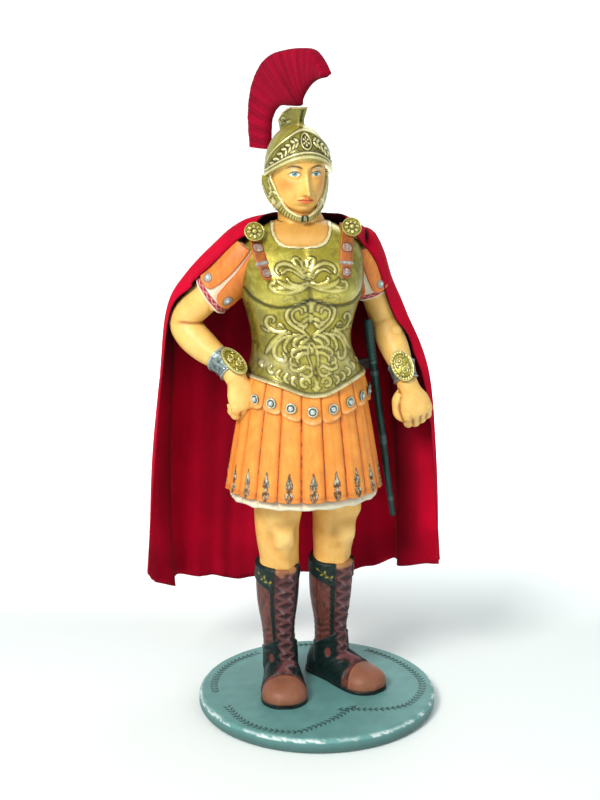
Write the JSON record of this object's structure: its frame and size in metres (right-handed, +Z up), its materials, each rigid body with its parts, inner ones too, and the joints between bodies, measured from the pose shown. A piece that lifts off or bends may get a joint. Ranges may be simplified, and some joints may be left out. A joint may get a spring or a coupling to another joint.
{
  "type": "roman soldier statue",
  "caption": "Painted standing soldier in a muscled cuirass, plumed helmet and strip skirt, with a cloth cape and sword, on a round base.",
  "frame": {"origin": "centre of the underside of the round base", "axes": "+Z up, the figure faces -Y and its left hand is on the +X side"},
  "size_m": [0.4181, 0.34, 0.9203],
  "materials": {
    "base_paint": "grey-green satin paint, worn white along the rim, with a painted wreath",
    "figure_paint": "cast resin painted by hand: skin, orange leather, brown boots, antique gold armour",
    "cape_cloth": "crimson napped cloth with a turned hem",
    "old_gold_paint": "antique gold paint rubbed with dark olive",
    "plume_felt": "crimson napped brush",
    "green_paint": "dark green paint with pale edges",
    "skin_paint": "satin flesh paint, blushed orange in the hollows",
    "orange_paint": "orange leather paint with darker edges",
    "white_paint": "cream paint",
    "boot_paint": "red-brown leather paint with dark green bands",
    "silver_paint": "silver paint with dark wash"
  },
  "bodies": {
    "root": {"base": "base_paint", "figure": "figure_paint", "cape": "cape_cloth", "brooch_right": "old_gold_paint", "brooch_left": "old_gold_paint", "plume": "plume_felt", "sword": "green_paint"}
  },
  "joints": []
}
